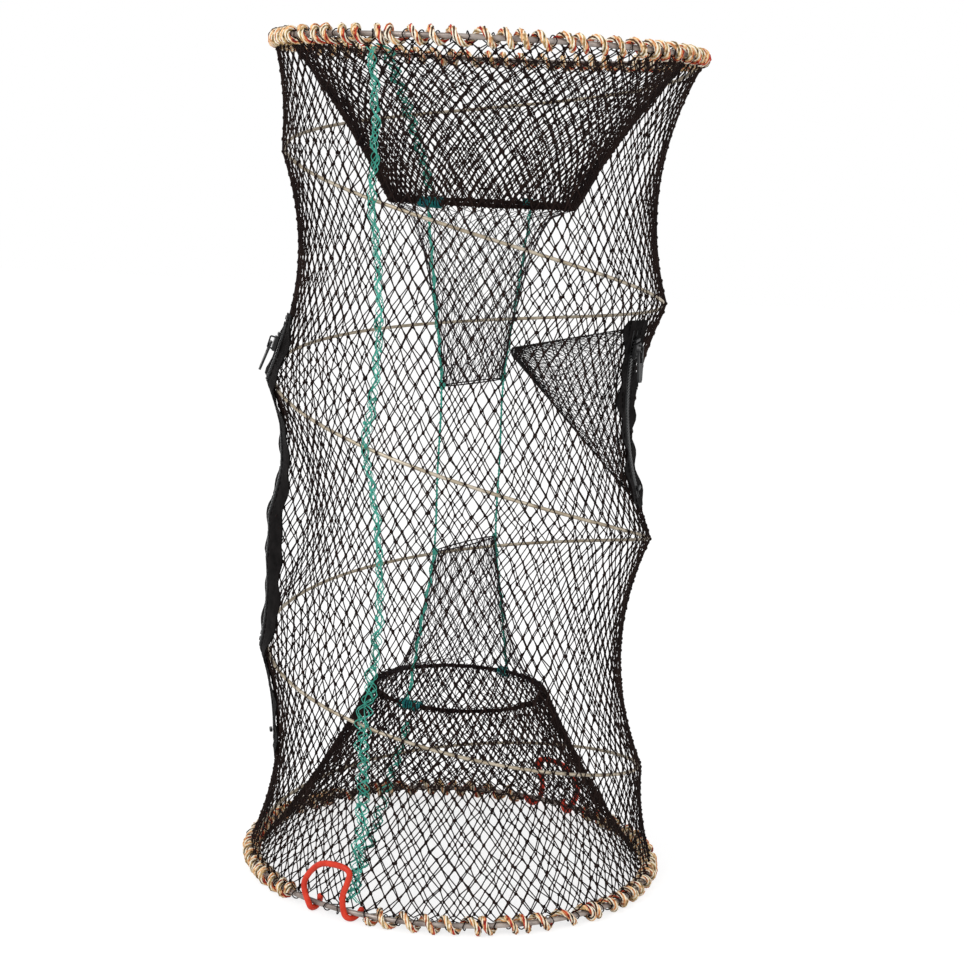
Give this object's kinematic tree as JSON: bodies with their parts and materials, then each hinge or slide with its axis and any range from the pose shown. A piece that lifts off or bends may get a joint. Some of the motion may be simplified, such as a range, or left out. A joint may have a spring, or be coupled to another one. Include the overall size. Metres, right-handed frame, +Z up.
{
  "type": "collapsible net trap",
  "caption": "Collapsible round net trap: two hoops joined by a coil spring inside a diamond net, with funnel entrances, a side zip, a zipped bait pocket and hooks.",
  "frame": {"origin": "centre of the base, on the surface that the trap stands on", "axes": "+Z up along the trap, from the bottom hoop to the top hoop; -Y is the front that the picture shows, +X is its right"},
  "size_m": [0.2995, 0.2998, 0.5819],
  "materials": {
    "steel_wire": "dull galvanised spring steel wire, beige grey",
    "wrap_twine": "laid twine in orange, cream, red and olive",
    "black_netting": "knotted black-brown netting twine, matt",
    "green_twine": "bright teal-green twisted twine",
    "zip_tape": "black woven tape",
    "zip_hardware": "black moulded teeth and black enamelled slider",
    "red_coating": "red plastic coating on wire"
  },
  "bodies": {
    "base": {"bottom_ring": "steel_wire", "bottom_ring_wrap_left": "wrap_twine", "bottom_ring_wrap_right": "wrap_twine", "coil_spring": "steel_wire", "outer_net": "black_netting", "top_funnel_net": "black_netting", "bottom_funnel_net": "black_netting", "top_throat_sleeve": "black_netting", "bottom_throat_sleeve": "black_netting", "bait_pocket_net": "black_netting", "front_inner_cord": "green_twine", "rear_inner_cord": "green_twine", "side_seam_lacing": "green_twine", "top_funnel_lacing": "green_twine", "bottom_funnel_lacing": "green_twine", "left_zip_front_tape": "zip_tape", "left_zip_rear_tape": "zip_tape", "left_zip_teeth": "zip_hardware", "left_zip_bottom_stop": "zip_hardware", "pocket_zip_front_tape": "zip_tape", "pocket_zip_rear_tape": "zip_tape", "pocket_zip_teeth": "zip_hardware", "pocket_zip_bottom_stop": "zip_hardware"},
    "top_hoop": {"top_ring": "steel_wire", "top_ring_wrap": "wrap_twine"},
    "top_throat": {"top_throat_ring": "black_netting", "top_throat_front_whipping": "green_twine", "top_throat_rear_whipping": "green_twine"},
    "bottom_throat": {"bottom_throat_ring": "black_netting", "bottom_throat_front_whipping": "green_twine", "bottom_throat_rear_whipping": "green_twine"},
    "left_zip_end": {"left_zip_top_stop": "zip_hardware"},
    "left_slider": {"left_zip_slider": "zip_hardware"},
    "left_pull": {"left_zip_pull": "zip_hardware"},
    "pocket_zip_end": {"pocket_zip_top_stop": "zip_hardware"},
    "pocket_slider": {"pocket_zip_slider": "zip_hardware"},
    "pocket_pull": {"pocket_zip_pull": "zip_hardware"},
    "front_hook": {"front_hook": "red_coating"},
    "rear_hook": {"rear_hook": "red_coating"}
  },
  "joints": [
    {"name": "collapse", "type": "slide", "parent": "base", "child": "top_hoop", "axis": [0, 0, 1], "range_m": [-0.513, 0], "stiffness_N_per_m": 30, "springref_m": 0.1, "deforming": ["coil_spring", "outer_net", "top_funnel_net", "bottom_funnel_net", "top_throat_sleeve", "bottom_throat_sleeve", "bait_pocket_net", "front_inner_cord", "rear_inner_cord", "side_seam_lacing", "top_funnel_lacing", "bottom_funnel_lacing", "left_zip_front_tape", "left_zip_rear_tape", "left_zip_teeth", "left_zip_bottom_stop", "pocket_zip_front_tape", "pocket_zip_rear_tape", "pocket_zip_teeth", "pocket_zip_bottom_stop"]},
    {"name": "top_throat_follow", "type": "slide", "parent": "base", "child": "top_throat", "axis": [0, 0, 1], "range_m": [-0.4199, 0]},
    {"name": "bottom_throat_follow", "type": "slide", "parent": "base", "child": "bottom_throat", "axis": [0, 0, 1], "range_m": [-0.1098, 0]},
    {"name": "left_zip_follow", "type": "slide", "parent": "base", "child": "left_zip_end", "axis": [0, 0, 1], "range_m": [-0.3343, 0]},
    {"name": "left_slider_slide", "type": "slide", "parent": "left_zip_end", "child": "left_slider", "axis": [0.0156, 0.0012, -0.9999], "range_m": [0, 0.2663]},
    {"name": "left_pull_swing", "type": "hinge", "parent": "left_slider", "child": "left_pull", "pos_m": [-0.13939, -0.02362, 0.37137], "axis": [-0.1736, 0.9848, 0], "range_deg": [0, 125]},
    {"name": "pocket_zip_follow", "type": "slide", "parent": "base", "child": "pocket_zip_end", "axis": [0, 0, 1], "range_m": [-0.3446, 0]},
    {"name": "pocket_slider_slide", "type": "slide", "parent": "pocket_zip_end", "child": "pocket_slider", "axis": [0.0837, 0.2066, -0.9748], "range_m": [0, 0.0918]},
    {"name": "pocket_pull_swing", "type": "hinge", "parent": "pocket_slider", "child": "pocket_pull", "pos_m": [0.11037, -0.06337, 0.38077], "axis": [-0.4819, -0.8762, 0], "range_deg": [0, 125]},
    {"name": "front_hook_swing", "type": "hinge", "parent": "base", "child": "front_hook", "pos_m": [-0.07563, -0.12103, 0.00624], "axis": [0.848, -0.5299, 0], "range_deg": [0, 88]},
    {"name": "rear_hook_swing", "type": "hinge", "parent": "base", "child": "rear_hook", "pos_m": [0.07563, 0.12103, 0.00624], "axis": [-0.848, 0.5299, 0], "range_deg": [0, 88]}
  ],
  "couplings": [
    {"joint": "top_throat_follow", "follows": "collapse", "ratio": 0.8186},
    {"joint": "bottom_throat_follow", "follows": "collapse", "ratio": 0.214},
    {"joint": "left_zip_follow", "follows": "collapse", "ratio": 0.6516},
    {"joint": "pocket_zip_follow", "follows": "collapse", "ratio": 0.6715}
  ]
}
